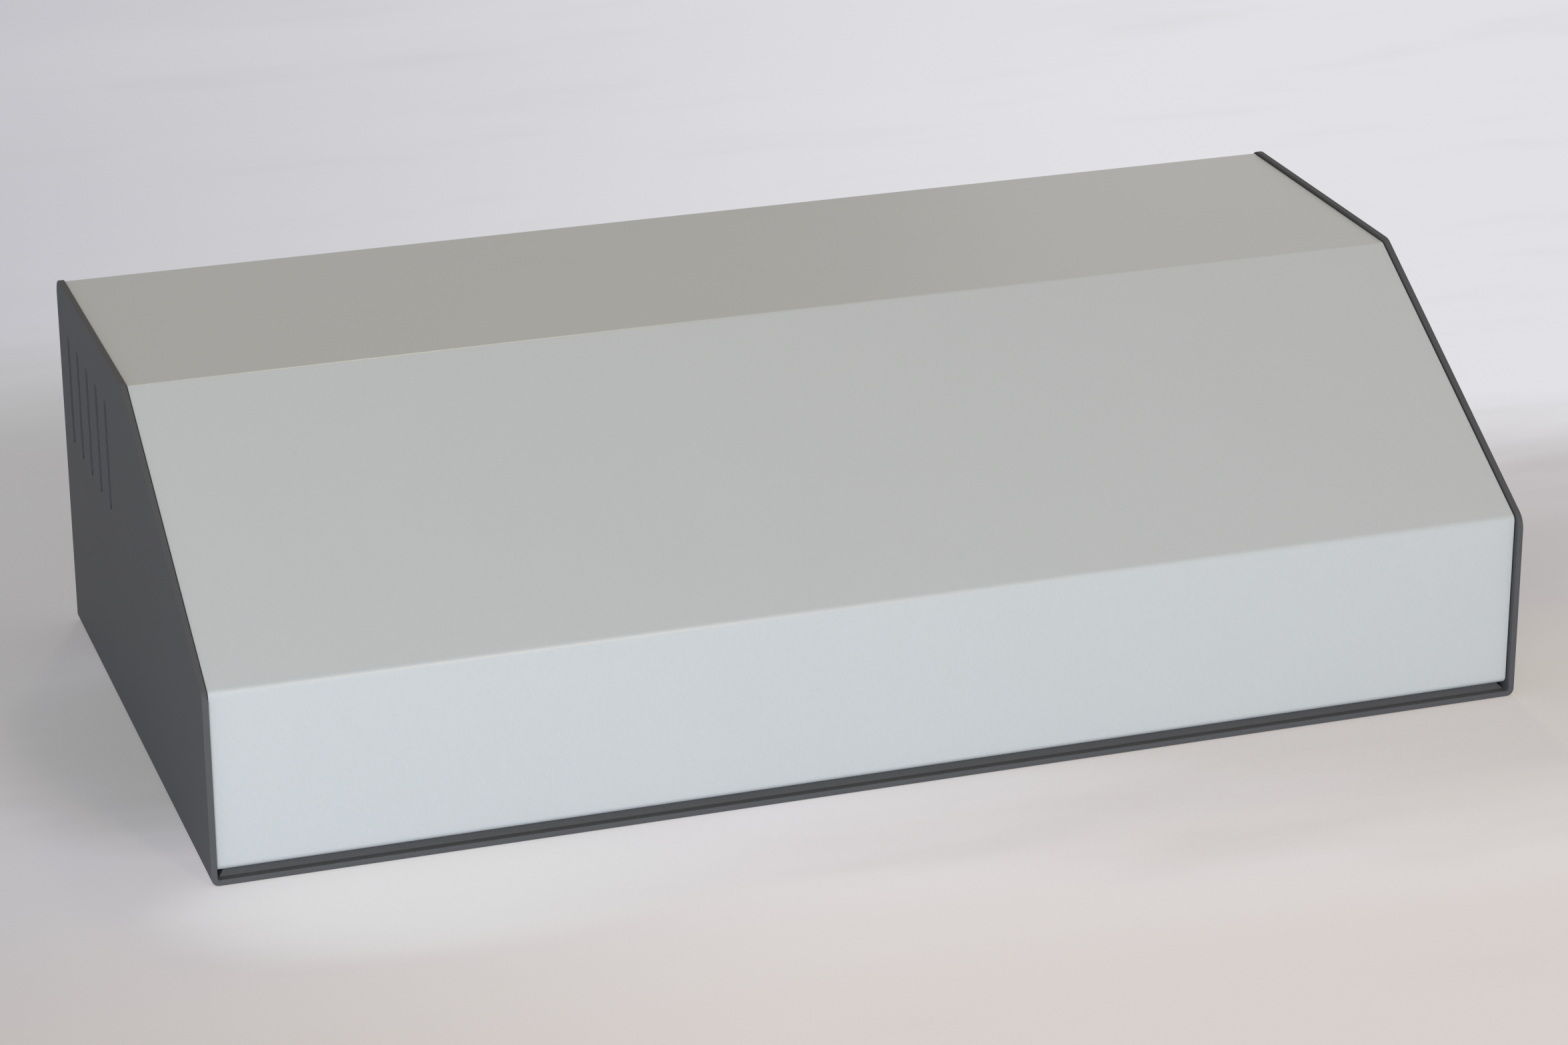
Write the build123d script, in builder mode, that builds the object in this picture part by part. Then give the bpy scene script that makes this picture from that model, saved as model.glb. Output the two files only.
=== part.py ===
from build123d import *
from math import cos, radians, tan
import os

# Closed enclosure: +Y runs to the back, +X to the right, Z = 0 is the surface it stands on
width = 350
depth = 175
height = 100
front_height = 50  # of the side panels' upright front edge
slope_angle = 30  # of the control panel, from the horizontal

# Folded aluminium sheet
sheet = 1.5
bend_radius = 0.5  # inside every fold
panel_corner_radius = 5  # on the outline of the side panels

# Seat of the cover between the side panels, whose edges stand proud of it by the setbacks
side_clearance = 0.3  # between each end of the cover and its side panel
wall_setback = 1.5  # at the front and back walls
slope_setback = 0.5  # at the control panel
top_setback = 0.8  # at the level top
flange_lift = 1.5  # from the tray's floor to the flanges, clear of the curve inside its folds
fit_gap = 0.05  # round what is pressed, screwed or threaded in

# Vent slots, in both side panels
vent_count = 5
vent_pitch = 12.7
vent_length = 30
vent_width = 3.5
vent_from_back = 13.5  # to the rearmost slot's middle
vent_from_top = 13  # to the tops of the slots

# M4 countersunk screws from below, into both flanges of the cover
thread_radius = 2
screw_length = 8
head_radius = 3.75
head_rim = 0.35  # upright edge of the head, below its cone
head_recess = 0.15  # the head sits this far above the floor's underside
screw_end_margin = 20  # from the cover's ends to the outer screws
screws_per_flange = 2
driver_width = 4.4
driver_slot = 1.1
driver_depth = 1.6
hole_radius = 2.3  # in the tray

# Beads pressed up in the tray's floor, one under each flange
bead_angle = 45  # of their sides, from the vertical
bead_end_margin = 2  # from the ends of their flat tops to the ends of the cover

# Clinch nuts, pressed into the flanges from above
nut_radius = 4
nut_height = 2
nut_shank_radius = 2.7
nut_shank_length = 1.4
nut_fold_gap = 2  # from the fold's inner curve to the nut
nut_edge_margin = 7  # from the nut's middle to the flange's edge

# Earth terminal on the floor of the tray
stud_length = 12
stud_head_radius = 3
stud_head_height = 0.7
stud_from_panel = 10
stud_from_back = 45
washer_bore_radius = 2.15
washer_radius = 4.5
washer_thickness = 0.8
star_radius = 4
star_thickness = 0.5
star_teeth = 8
star_tooth_depth = 0.8
hex_across_flats = 7
hex_height = 3.2

# Sizes that follow
outer_bend = bend_radius + sheet
cover_width = width - 2 * (sheet + side_clearance)
flange_underside = sheet + flange_lift
screw_inset = sheet + bend_radius + nut_fold_gap + nut_radius  # from the cover's outer face
flange_width = screw_inset + nut_edge_margin
screw_x_pitch = (cover_width - 2 * screw_end_margin) / (screws_per_flange - 1)
screw_y_pitch = depth - 2 * (wall_setback + screw_inset)
sink_radius = head_radius + head_rim + head_recess + fit_gap
bead_width = 2 * (screw_inset - outer_bend)  # flat top, as far as the flange's fold
bead_length = cover_width - 2 * bead_end_margin
bead_spread = flange_lift * tan(radians(bead_angle))  # of each side, down to the floor
bead_wall = sheet * (1 / cos(radians(bead_angle)) - tan(radians(bead_angle)))
hollow_spread = bead_spread - bead_wall  # keeps the sheet's thickness in the sides
stud_x = -width / 2 + sheet + stud_from_panel
stud_y = depth / 2 - stud_from_back


def side_corners(wall_inset=0, slope_inset=0, top_inset=0):
    """Corners (y, z) of the enclosure seen from its right, with its faces moved inwards."""
    slope = radians(slope_angle)
    front = -depth / 2 + wall_inset
    back = depth / 2 - wall_inset
    top = height - top_inset
    brow = front_height + wall_inset * tan(slope) - slope_inset / cos(slope)
    crest = front + (top - brow) / tan(slope)
    return (front, brow), (crest, top), (back, top)


def sheet_section(plane, corners):
    """Section of a folded sheet whose outer line turns left at each corner."""
    with BuildSketch(plane) as section:
        with BuildLine():
            FilletPolyline(*corners, radius=outer_bend)
            offset(amount=sheet, side=Side.LEFT)
        make_face()
    return section.sketch


# Base tray: the floor and both side panels, folded up from one sheet
tray_corners = (
    (-width / 2, height),
    (-width / 2, 0),
    (width / 2, 0),
    (width / 2, height),
)
tray_section = sheet_section(Plane.XZ.offset(-depth / 2), tray_corners)
with BuildSketch(Plane.YZ.offset(-width / 2)) as panel_outline:
    with BuildLine():
        Polyline((-depth / 2, 0), *side_corners(), (depth / 2, 0), close=True)
    make_face()
    fillet(panel_outline.vertices().filter_by(lambda v: v.Y > 0), radius=panel_corner_radius)

with BuildPart() as base_tray:
    extrude(tray_section, amount=depth)
    extrude(panel_outline.sketch, amount=width, mode=Mode.INTERSECT)

    # Vent slots near the back of both panels
    vent_y = depth / 2 - vent_from_back - (vent_count - 1) * vent_pitch / 2
    vent_z = height - vent_from_top - vent_length / 2
    with BuildSketch(Plane.YZ):
        with Locations((vent_y, vent_z)):
            with GridLocations(vent_pitch, 0, vent_count, 1):
                SlotOverall(vent_length, vent_width, rotation=90)
    extrude(amount=width / 2, both=True, mode=Mode.SUBTRACT)

    # Beads pressed up from below, which sink the screw heads and carry the flanges
    with BuildSketch(Plane.XY.offset(sheet)):
        with GridLocations(0, screw_y_pitch, 1, 2):
            Rectangle(bead_length + 2 * bead_spread, bead_width + 2 * bead_spread)
    extrude(amount=flange_lift, taper=bead_angle)
    with BuildSketch(Plane.XY):
        with GridLocations(0, screw_y_pitch, 1, 2):
            Rectangle(bead_length + 2 * hollow_spread, bead_width + 2 * hollow_spread)
    extrude(amount=flange_lift, taper=bead_angle, mode=Mode.SUBTRACT)

    with GridLocations(screw_x_pitch, screw_y_pitch, screws_per_flange, 2):
        Cone(
            sink_radius,
            hole_radius,
            sink_radius - hole_radius,
            align=(Align.CENTER, Align.CENTER, Align.MIN),
            mode=Mode.SUBTRACT,
        )
        Hole(hole_radius)

    # Stepped hole for the flush head of the earth stud
    with Locations((stud_x, stud_y, 0)):
        Hole(thread_radius + fit_gap)
        Cylinder(
            stud_head_radius + fit_gap,
            stud_head_height,
            align=(Align.CENTER, Align.CENTER, Align.MIN),
            mode=Mode.SUBTRACT,
        )

# Cover: front wall, control panel, top and back wall folded from one sheet,
# with a flange turned in along the bottom of the front and back walls
front, back = -depth / 2 + wall_setback, depth / 2 - wall_setback
cover_corners = (
    (front + flange_width, flange_underside),
    (front, flange_underside),
    *side_corners(wall_setback, slope_setback, top_setback),
    (back, flange_underside),
    (back - flange_width, flange_underside),
)
cover_section = sheet_section(Plane.YZ.offset(-cover_width / 2), cover_corners[::-1])
with BuildPart() as top_cover:
    extrude(cover_section, amount=cover_width)
    with Locations((0, 0, flange_underside)):
        with GridLocations(screw_x_pitch, screw_y_pitch, screws_per_flange, 2):
            Cylinder(nut_shank_radius + fit_gap, 2 * sheet, mode=Mode.SUBTRACT)

# Countersunk screw with a cross recess, standing on its head as it is driven from below
with BuildSketch(Plane.XZ) as screw_profile:
    with BuildLine():
        Polyline(
            (0, 0),
            (head_radius, 0),
            (head_radius, head_rim),
            (thread_radius, head_rim + head_radius - thread_radius),
            (thread_radius, screw_length),
            (0, screw_length),
            close=True,
        )
    make_face()
with BuildPart() as screw:
    revolve(screw_profile.sketch, axis=Axis.Z)
    with BuildSketch():
        Rectangle(driver_width, driver_slot)
        Rectangle(driver_slot, driver_width)
    extrude(amount=driver_depth, mode=Mode.SUBTRACT)

# Clinch nut: the shank fills the hole in the flange and the collar lies on top
with BuildPart() as nut:
    Cylinder(nut_radius, nut_height, align=(Align.CENTER, Align.CENTER, Align.MIN))
    Cylinder(
        nut_shank_radius,
        nut_shank_length,
        align=(Align.CENTER, Align.CENTER, Align.MAX),
    )
    Hole(thread_radius + fit_gap)

# Earth stud, with the washers and the nut that would clamp a ring terminal
with BuildPart() as earth_stud:
    Cylinder(
        stud_head_radius, stud_head_height - fit_gap, align=(Align.CENTER, Align.CENTER, Align.MIN)
    )
    Cylinder(thread_radius, stud_length, align=(Align.CENTER, Align.CENTER, Align.MIN))

with BuildPart() as earth_star_washer:
    with BuildSketch():
        Circle(star_radius)
        with PolarLocations(star_radius, star_teeth):
            Rectangle(2 * star_tooth_depth, star_tooth_depth, mode=Mode.SUBTRACT)
        Circle(washer_bore_radius, mode=Mode.SUBTRACT)
    extrude(amount=star_thickness)

with BuildPart() as earth_washer:
    with BuildSketch():
        Circle(washer_radius)
        Circle(washer_bore_radius, mode=Mode.SUBTRACT)
    extrude(amount=washer_thickness)

with BuildPart() as earth_nut:
    with BuildSketch():
        RegularPolygon(hex_across_flats / 2, 6, major_radius=False)
        Circle(thread_radius + fit_gap, mode=Mode.SUBTRACT)
    extrude(amount=hex_height)


def write(piece, name, x=0, y=0, z=0):
    """Puts a piece in its place in the enclosure and writes it under its name."""
    with BuildPart() as placed:
        with Locations((x, y, z)):
            add(piece.part)
    placed.part.label = name
    export_step(placed.part, f"parts/{name}.step")


os.makedirs("parts", exist_ok=True)
write(base_tray, "base_tray")
write(top_cover, "top_cover")

for row, y in ("front", -screw_y_pitch / 2), ("back", screw_y_pitch / 2):
    for place in range(screws_per_flange):
        x = screw_x_pitch * (place - (screws_per_flange - 1) / 2)
        write(screw, f"{row}_screw_{place + 1}", x, y, head_recess)
        write(nut, f"{row}_clinch_nut_{place + 1}", x, y, flange_underside + sheet)

stack = sheet
write(earth_stud, "earth_stud", stud_x, stud_y, fit_gap)
for piece, name, thickness in (
    (earth_star_washer, "earth_star_washer", star_thickness),
    (earth_washer, "earth_washer", washer_thickness),
    (earth_nut, "earth_nut", hex_height),
):
    write(piece, name, stud_x, stud_y, stack)
    stack += thickness
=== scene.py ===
import math

import bmesh
import bpy
import numpy as np
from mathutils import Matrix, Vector


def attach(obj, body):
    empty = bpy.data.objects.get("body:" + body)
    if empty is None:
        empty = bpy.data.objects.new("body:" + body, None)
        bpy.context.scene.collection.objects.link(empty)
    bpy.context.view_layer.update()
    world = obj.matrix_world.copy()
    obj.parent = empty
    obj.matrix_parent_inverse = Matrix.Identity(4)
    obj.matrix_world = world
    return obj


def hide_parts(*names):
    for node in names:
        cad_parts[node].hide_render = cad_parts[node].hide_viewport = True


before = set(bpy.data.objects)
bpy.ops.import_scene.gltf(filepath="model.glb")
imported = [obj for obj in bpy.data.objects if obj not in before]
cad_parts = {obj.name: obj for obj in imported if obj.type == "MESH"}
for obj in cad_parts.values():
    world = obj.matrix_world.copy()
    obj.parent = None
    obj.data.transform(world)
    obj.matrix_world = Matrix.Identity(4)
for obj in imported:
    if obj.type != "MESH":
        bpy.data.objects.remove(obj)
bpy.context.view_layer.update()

# Metres throughout. +X to the right, +Y to the back, Z = 0 is the cloth it stands on.
renderLevels = {"bevelSegments": 3, "largeFaceWeight": 100}


class Term:
    # A shader socket that sums and products can be written with. Each one adds a Math node.
    def __init__(self, finish, socket):
        self.finish = finish
        self.socket = socket

    def combine(self, operation, first, second):
        return self.finish.node(
            "ShaderNodeMath", {"operation": operation}, {0: first, 1: second}
        )

    def __add__(self, other):
        return self.combine("ADD", self, other)

    def __radd__(self, other):
        return self.combine("ADD", other, self)

    def __sub__(self, other):
        return self.combine("SUBTRACT", self, other)

    def __rsub__(self, other):
        return self.combine("SUBTRACT", other, self)

    def __mul__(self, other):
        return self.combine("MULTIPLY", self, other)

    def __rmul__(self, other):
        return self.combine("MULTIPLY", other, self)

    def __truediv__(self, other):
        return self.combine("DIVIDE", self, other)

    def __rtruediv__(self, other):
        return self.combine("DIVIDE", other, self)

    def atLeast(self, other):
        return self.combine("MAXIMUM", self, other)


class Finish:
    # One material. node() adds a node of any type: settings first, then values or links.
    def __init__(self, name):
        self.material = bpy.data.materials.new(name)
        self.material.use_nodes = True
        self.tree = self.material.node_tree
        self.tree.nodes.clear()
        self.place = self.node("ShaderNodeTexCoord", output="Object")

    def node(self, kind, settings=None, sockets=None, output=0):
        made = self.tree.nodes.new(kind)
        for key, value in (settings or {}).items():
            setattr(made, key, value)
        for key, value in (sockets or {}).items():
            if isinstance(value, Term):
                self.tree.links.new(value.socket, made.inputs[key])
            else:
                made.inputs[key].default_value = value
        return Term(self, made.outputs[output]) if made.outputs else None

    def noise(self, look):
        # its scale is one number, or three for a pattern drawn out along an axis
        scale = look["scale"]
        even = isinstance(scale, float)
        return self.node(
            "ShaderNodeTexNoise",
            {"noise_dimensions": "3D"},
            {
                "Vector": self.place if even else self.stretched(scale),
                "Scale": scale if even else 1.0,
                "Detail": look["detail"],
                "Roughness": look["roughness"],
            },
        )

    def between(self, low, high, factor):
        # colour from low to high as factor goes from 0 to 1
        ends = [end if isinstance(end, Term) else (*end, 1) for end in (low, high)]
        return self.node(
            "ShaderNodeMix",
            {"data_type": "RGBA", "clamp_factor": True},
            {0: factor, 6: ends[0], 7: ends[1]},
            output=2,
        )

    def stretched(self, scale):
        return self.node(
            "ShaderNodeMapping", None, {"Vector": self.place, "Scale": scale}
        )

    def along(self, axis):
        return self.node("ShaderNodeSeparateXYZ", None, {0: self.place}, output=axis)

    def ramp(self, value, start, end):
        # 0 below start, 1 above end and smooth between
        return self.node(
            "ShaderNodeMapRange",
            {"interpolation_type": "SMOOTHSTEP"},
            {"Value": value, "From Min": start, "From Max": end},
        )

    def bumps(self, height):
        # normal of a surface raised by height, in metres
        return self.node("ShaderNodeBump", None, {"Height": height, "Distance": 1.0})

    def close(self, shader):
        self.node("ShaderNodeOutputMaterial", None, {"Surface": shader})
        return self.material


middle = 0.5  # of what a noise gives, which runs from 0 to 1
powderGrain = {
    "grain": {"scale": 2400.0, "detail": 3.0, "roughness": 0.6},
    "peel": {"scale": 520.0, "detail": 2.0, "roughness": 0.4},
    "cloud": {"scale": 38.0, "detail": 3.0, "roughness": 0.5},
    "cloudShare": 0.15,  # of the shade's variation, the rest being grain
    "shadeBetween": (0.3, 0.7),  # from the dark colour to the light one
}


def powderCoat(name, look):
    # Baked powder: a fine sandy grain over soft orange peel, on an even colour.
    finish = Finish(name)
    grain = finish.noise(powderGrain["grain"])
    peel = finish.noise(powderGrain["peel"])
    cloud = finish.noise(powderGrain["cloud"])
    share = powderGrain["cloudShare"]
    shade = finish.ramp(cloud * share + grain * (1 - share), *powderGrain["shadeBetween"])
    height = grain * look["grainHeight"] + peel * look["peelHeight"]
    return finish.close(
        finish.node(
            "ShaderNodeBsdfPrincipled",
            None,
            {
                "Base Color": finish.between(look["dark"], look["light"], shade),
                "Roughness": look["roughness"] + (grain - middle) * look["roughnessSpread"],
                "Specular IOR Level": look["specular"],
                "Normal": finish.bumps(height),
            },
        )
    )


def zincPlate(name, look):
    # Bright zinc with faint turning lines and a cloudy passivated tint.
    finish = Finish(name)
    cloud = finish.noise(look["cloud"])
    lines = finish.noise(look["lines"])
    return finish.close(
        finish.node(
            "ShaderNodeBsdfPrincipled",
            None,
            {
                "Base Color": finish.between(
                    look["dull"], look["bright"], finish.ramp(cloud, *look["tintBetween"])
                ),
                "Metallic": 1.0,
                "Roughness": look["roughness"] + cloud * look["roughnessSpread"],
                "Normal": finish.bumps(lines * look["lineHeight"]),
            },
        )
    )


trayLook = {
    "dark": (0.091, 0.0915, 0.094),
    "light": (0.107, 0.1075, 0.1105),
    "roughness": 0.64,
    "roughnessSpread": 0.12,
    "specular": 0.2,
    "grainHeight": 0.000022,
    "peelHeight": 0.00003,
}
coverLook = {
    "dark": (0.588, 0.605, 0.596),
    "light": (0.618, 0.635, 0.626),
    "roughness": 0.31,
    "roughnessSpread": 0.12,
    "specular": 0.45,
    "grainHeight": 0.000018,
    "peelHeight": 0.000025,
}
zincLook = {
    "dull": (0.50, 0.50, 0.485),
    "bright": (0.66, 0.66, 0.64),
    "roughness": 0.24,
    "roughnessSpread": 0.14,
    "cloud": {"scale": 420.0, "detail": 3.0, "roughness": 0.5},
    "tintBetween": (0.35, 0.65),
    "lines": {"scale": (900.0, 900.0, 9000.0), "detail": 2.0, "roughness": 0.5},
    "lineHeight": 0.000004,
}
trayCoat = powderCoat("trayCoat", trayLook)
coverCoat = powderCoat("coverCoat", coverLook)
zinc = zincPlate("zinc", zincLook)
print("finishes made")


def dressedCopy(nodeName, pieceName, coat, look):
    # The CAD node's faces, joined up, with smooth folds and its cut edges rounded.
    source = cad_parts[nodeName].data
    points = np.empty(len(source.vertices) * 3, np.float32)
    source.vertices.foreach_get("co", points)
    corners = np.empty(len(source.loops), np.int32)
    source.loops.foreach_get("vertex_index", corners)
    mesh = bpy.data.meshes.new(pieceName)
    mesh.from_pydata(points.reshape(-1, 3).tolist(), [], corners.reshape(-1, 3).tolist())
    joined = bmesh.new()
    joined.from_mesh(mesh)
    bmesh.ops.remove_doubles(joined, verts=joined.verts, dist=look["mergeDistance"])
    bmesh.ops.dissolve_limit(
        joined,
        angle_limit=math.radians(look["flatAngle"]),
        verts=joined.verts,
        edges=joined.edges,
    )
    joined.to_mesh(mesh)
    joined.free()
    mesh.materials.append(coat)
    mesh.polygons.foreach_set("use_smooth", np.ones(len(mesh.polygons), bool))
    piece = bpy.data.objects.new(pieceName, mesh)
    bpy.context.scene.collection.objects.link(piece)
    bevel = piece.modifiers.new("roundedEdges", "BEVEL")
    bevel.width = look["edgeRadius"]
    bevel.segments = renderLevels["bevelSegments"]
    bevel.limit_method = "ANGLE"
    bevel.angle_limit = math.radians(look["sharpAngle"])
    bevel.use_clamp_overlap = True
    # flat faces stay flat and the folds between them shade as true curves
    shading = piece.modifiers.new("evenShading", "WEIGHTED_NORMAL")
    shading.mode = "FACE_AREA"
    shading.weight = renderLevels["largeFaceWeight"]
    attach(piece, "root")
    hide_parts(nodeName)


sheetLook = {
    "mergeDistance": 1e-6,
    "flatAngle": 0.4,  # degrees; faces that meet at less become one
    "sharpAngle": 32.0,  # degrees; edges that turn more are rounded
    "edgeRadius": 0.0002,
}
dressedCopy("base_tray", "traySheet", trayCoat, sheetLook)
dressedCopy("top_cover", "coverSheet", coverCoat, sheetLook)
print("sheets dressed")

smallLook = {**sheetLook, "edgeRadius": 0.00015}
for nodeName in sorted(set(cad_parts) - {"base_tray", "top_cover"}):
    dressedCopy(nodeName, nodeName + "_zinc", zinc, smallLook)
print("screws, nuts and earth terminal dressed")


clothLook = {
    # painted shade: the fade between these four tones darkens the cloth to the left of the
    # enclosure
    "nearLeft": (0.512, 0.435, 0.395),
    "nearRight": (0.772, 0.677, 0.637),
    "farLeft": (0.40, 0.399, 0.465),
    "farRight": (0.943, 0.934, 0.996),
    "diffuse": (0.88, 0.92, 0.97),
    "glow": 0.58,  # share of the cloth's tone that the camera sees unshaded
    "fadeFrom": -0.27,  # along Y, from near to far
    "fadeTo": 0.104,
    "darkAt": -0.351,  # along X, with the darkest painted shade on the cloth to the left of it
    "fadeWidth": 0.427,
    "lean": -0.228,  # metres that the fade shifts to the right for each metre back
    "spread": 1.937,  # share by which it widens for each metre back
    "narrowestAt": -0.3,  # along Y, and it narrows no further in front of this
    # painted shade: soft patches of shadow round the enclosure, and one painted patch of light in
    # front of the left corner
    "patches": {
        "rearLeft": {"at": (-0.189, 0.14), "reach": (0.22, 0.209), "tone": (0.386, 0.359, 0.347)},
        "right": {"at": (0.261, -0.031), "reach": (0.16, 0.161), "tone": (0.534, 0.486, 0.498)},
        "foot": {"at": (0.237, -0.102), "reach": (0.306, 0.079), "tone": (0.623, 0.56, 0.517)},
        "corner": {"at": (-0.178, -0.008), "reach": (0.05, 0.063), "tone": (0.371, 0.352, 0.334)},
        "lit": {"at": (-0.12, -0.104), "reach": (0.084, 0.041), "tone": (0.836, 0.819, 0.814)},
    },
    "fray": 0.7,  # how far the creases shift the patches' borders
    "folds": {"scale": (1.2, 6.0, 1.0), "detail": 3.0, "roughness": 0.5},
    "foldShift": (0.3, 0.08),  # metres that they move the fade along Y and across it
    "creases": {"scale": (7.0, 26.0, 1.0), "detail": 3.0, "roughness": 0.55},
    # painted shade in the cloth's creases
    "creaseShadeTone": (0.5, 0.47, 0.46),
    "creaseShare": 0.15,
    "creaseBetween": (0.5, 0.8),
    "evenTone": (0.74, 0.72, 0.735),  # unshaded, well away from the enclosure
    "evenFrom": 0.76,  # metres from its middle
    "evenTo": 1.15,
    "weave": {"scale": 1600.0, "detail": 2.0, "roughness": 0.5},
    "weaveHeight": 0.00008,
    "roughness": 0.95,
    "specular": 0.1,
    "gap": 0.0001,  # below the tray, so that no two faces lie in one plane
    "halfWidth": 3.0,
    "steps": 240,
    "waveHeight": 0.0012,
    "waveLength": 0.21,
    # each wave's pace along X and Y, its strength, and where it starts in radians
    "waves": [
        {"pace": (0.31, 1.0), "strength": 1.0, "start": 0.0},
        {"pace": (-0.23, 0.57), "strength": 0.6, "start": 1.7},
    ],
    "calmRadius": 0.26,
    "calmStretch": 1.3,  # the calm stretch is this much longer along X
}


def clothFinish(look):
    # Its own glow shows to the camera and in reflections, but lights nothing. Its tone carries
    # painted shade and one painted patch of light.
    finish = Finish("cloth")
    alongX, alongY = finish.along("X"), finish.along("Y")
    folds = finish.noise(look["folds"]) - middle
    creases = finish.noise(look["creases"])
    weave = finish.noise(look["weave"])
    foldShiftY, foldShiftAcross = look["foldShift"]
    depth = finish.ramp(alongY + folds * foldShiftY, look["fadeFrom"], look["fadeTo"])
    side = (alongX - look["darkAt"] - alongY * look["lean"]) / (
        1 + alongY.atLeast(look["narrowestAt"]) * look["spread"]
    )
    across = finish.ramp(side + folds * foldShiftAcross, 0.0, look["fadeWidth"])
    left = finish.between(look["nearLeft"], look["farLeft"], depth)
    right = finish.between(look["nearRight"], look["farRight"], depth)
    tone = finish.between(left, right, across)
    frayed = (creases - middle) * look["fray"]
    # each patch paints shade over the tone, and the lit one paints light
    for patch in look["patches"].values():
        # 1 in the patch's middle, 0 from its reach outwards
        farX, farY = [
            (axis - place) / reach
            for axis, place, reach in zip((alongX, alongY), patch["at"], patch["reach"])
        ]
        inside = finish.ramp(1 - farX * farX - farY * farY + frayed, 0.0, 1.0)
        tone = finish.between(tone, patch["tone"], inside)
    # painted shade along the creases
    crease = finish.ramp(creases, *look["creaseBetween"]) * look["creaseShare"]
    tone = finish.between(tone, look["creaseShadeTone"], crease)
    away = finish.ramp(
        alongX * alongX + alongY * alongY, look["evenFrom"] ** 2, look["evenTo"] ** 2
    )
    tone = finish.between(tone, look["evenTone"], away)
    shaded = finish.node(
        "ShaderNodeBsdfPrincipled",
        None,
        {
            "Base Color": (*look["diffuse"], 1),
            "Roughness": look["roughness"],
            "Specular IOR Level": look["specular"],
            "Normal": finish.bumps(weave * look["weaveHeight"]),
        },
    )
    glowing = finish.node("ShaderNodeEmission", None, {"Color": tone})
    seen = sum(
        finish.node("ShaderNodeLightPath", output=ray)
        for ray in ("Is Camera Ray", "Is Glossy Ray", "Is Transmission Ray")
    )
    return finish.close(
        finish.node(
            "ShaderNodeMixShader",
            None,
            {
                0: seen * (look["glow"] + away * (1 - look["glow"])),
                1: shaded,
                2: glowing,
            },
        )
    )


def layCloth(look):
    # height = waveHeight * (sum of slow sines of x and y, less the most it can be), times
    # a share that is 0 round the enclosure and 1 well away from it, less the gap
    side = np.linspace(-look["halfWidth"], look["halfWidth"], look["steps"])
    x, y = np.meshgrid(side, side, indexing="ij")
    turn = 2 * math.pi / look["waveLength"]
    wave = sum(
        part["strength"]
        * (np.sin(turn * (part["pace"][0] * x + part["pace"][1] * y) + part["start"]) - 1)
        for part in look["waves"]
    )
    reach = np.hypot(x / look["calmStretch"], y) / look["calmRadius"]
    z = look["waveHeight"] * wave * np.clip(reach - 1, 0, 1) - look["gap"]
    points = np.stack([x, y, z], axis=-1).reshape(-1, 3)
    index = np.arange(x.size).reshape(x.shape)
    faces = np.stack(
        [index[:-1, :-1], index[1:, :-1], index[1:, 1:], index[:-1, 1:]], axis=-1
    ).reshape(-1, 4)
    mesh = bpy.data.meshes.new("cloth")
    mesh.from_pydata(points.tolist(), [], faces.tolist())
    mesh.polygons.foreach_set("use_smooth", np.ones(len(faces), bool))
    mesh.materials.append(clothFinish(look))
    cloth = bpy.data.objects.new("cloth", mesh)
    bpy.context.scene.collection.objects.link(cloth)


layCloth(clothLook)
print("cloth laid")


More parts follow.
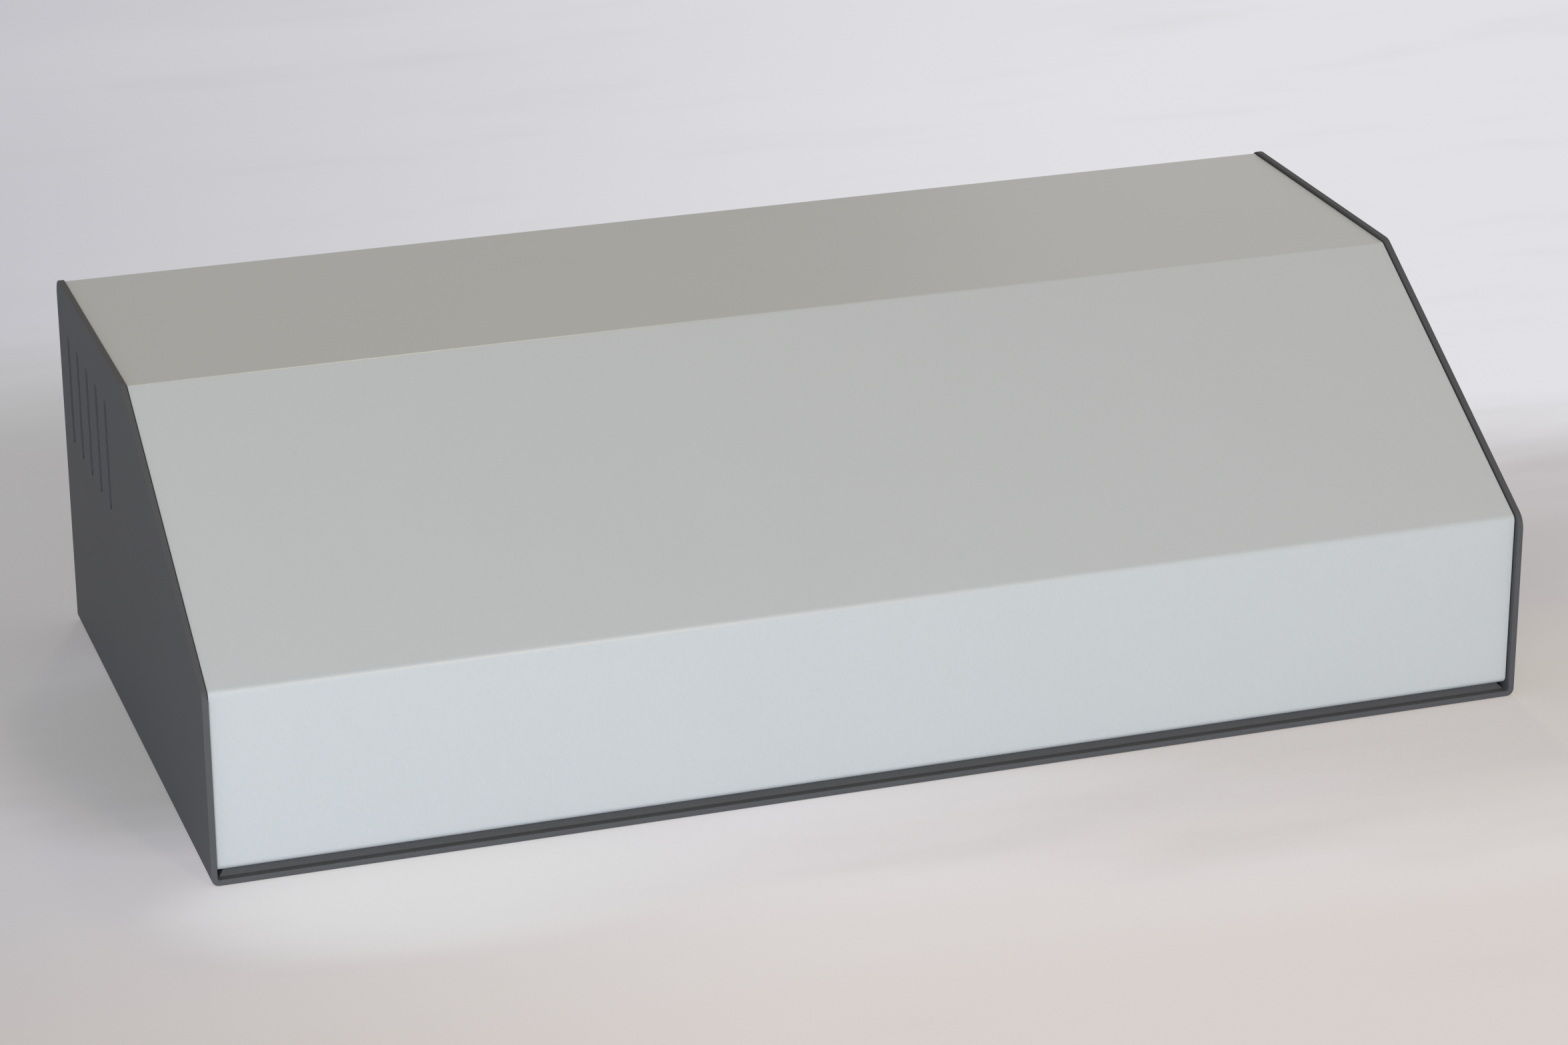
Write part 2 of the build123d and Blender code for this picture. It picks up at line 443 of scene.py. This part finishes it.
studio = {
    "sky": (0.972, 0.97, 1.0),
    "skyStrength": 0.46,
    "lamps": {
        "window": {
            "at": (-0.5, -1.3, 0.13),
            "aim": (0.0, -0.08, 0.04),
            "size": (0.7, 0.2),
            "watts": 9.75,
            "colour": (0.72, 0.84, 1.0),
        },
        "rearCeiling": {
            "at": (0.25, 1.0, 1.3),
            "aim": (0.0, 0.0, 0.05),
            "size": (0.16, 0.16),
            "watts": 2.1,
            "colour": (1.0, 0.9, 0.48),
        },
        "frontCeiling": {
            "at": (0.28, -1.35, 0.96),
            "aim": (0.0, 0.0, 0.05),
            "size": (0.16, 0.16),
            "watts": 3.4,
            "colour": (1.0, 0.7, 0.33),
        },
    },
    # seen only in reflections: a sheen at the right of the top, a warm line on the lower fold
    "glints": {
        "rearPanel": {
            "at": (0.85, 1.05, 0.38),
            "aim": (0.1, 0.05, 0.1),
            "size": (0.8, 0.7),
            "watts": 0.68,
            "colour": (0.955, 0.91, 1.0),
        },
        "frontGlint": {
            "at": (0.26, -1.3, 0.82),
            "aim": (0.0, 0.0, 0.82),
            "size": (0.16, 1.5),
            "watts": 1.53,
            "colour": (1.0, 0.85, 0.55),
        },
    },
}


def hangLamp(name, look, lights=True):
    lamp = bpy.data.lights.new(name, "AREA")
    lamp.shape = "RECTANGLE"
    lamp.size, lamp.size_y = look["size"]
    lamp.energy = look["watts"]
    lamp.color = look["colour"]
    holder = bpy.data.objects.new(name, lamp)
    holder.location = look["at"]
    aim = Vector(look["aim"]) - Vector(look["at"])
    holder.rotation_euler = aim.to_track_quat("-Z", "Y").to_euler()
    holder.visible_camera = False
    holder.visible_diffuse = lights
    bpy.context.scene.collection.objects.link(holder)


for name, look in studio["lamps"].items():
    hangLamp(name, look)
for name, look in studio["glints"].items():
    hangLamp(name, look, lights=False)
world = bpy.data.worlds.new("studio")
bpy.context.scene.world = world
world.use_nodes = True
background = world.node_tree.nodes["Background"]
background.inputs["Color"].default_value = (*studio["sky"], 1)
background.inputs["Strength"].default_value = studio["skyStrength"]
bpy.context.scene.view_settings.view_transform = "Standard"
print("lights hung")


cameraLook = {
    "at": (-0.36481, -1.09019, 0.50160),
    "turn": (68.0805, 0.1932, -18.6245),  # degrees about X, Y and Z
    "lens": 106.562,  # millimetres, as the sensor's width
    "sensor": 36.0,
    "nearest": 0.01,  # metres at which it begins to see
}
lens = bpy.data.cameras.new("camera")
lens.sensor_width = cameraLook["sensor"]
lens.lens = cameraLook["lens"]
lens.clip_start = cameraLook["nearest"]
camera = bpy.data.objects.new("camera", lens)
camera.location = cameraLook["at"]
camera.rotation_euler = [math.radians(angle) for angle in cameraLook["turn"]]
bpy.context.scene.collection.objects.link(camera)
bpy.context.scene.camera = camera
print("camera placed")
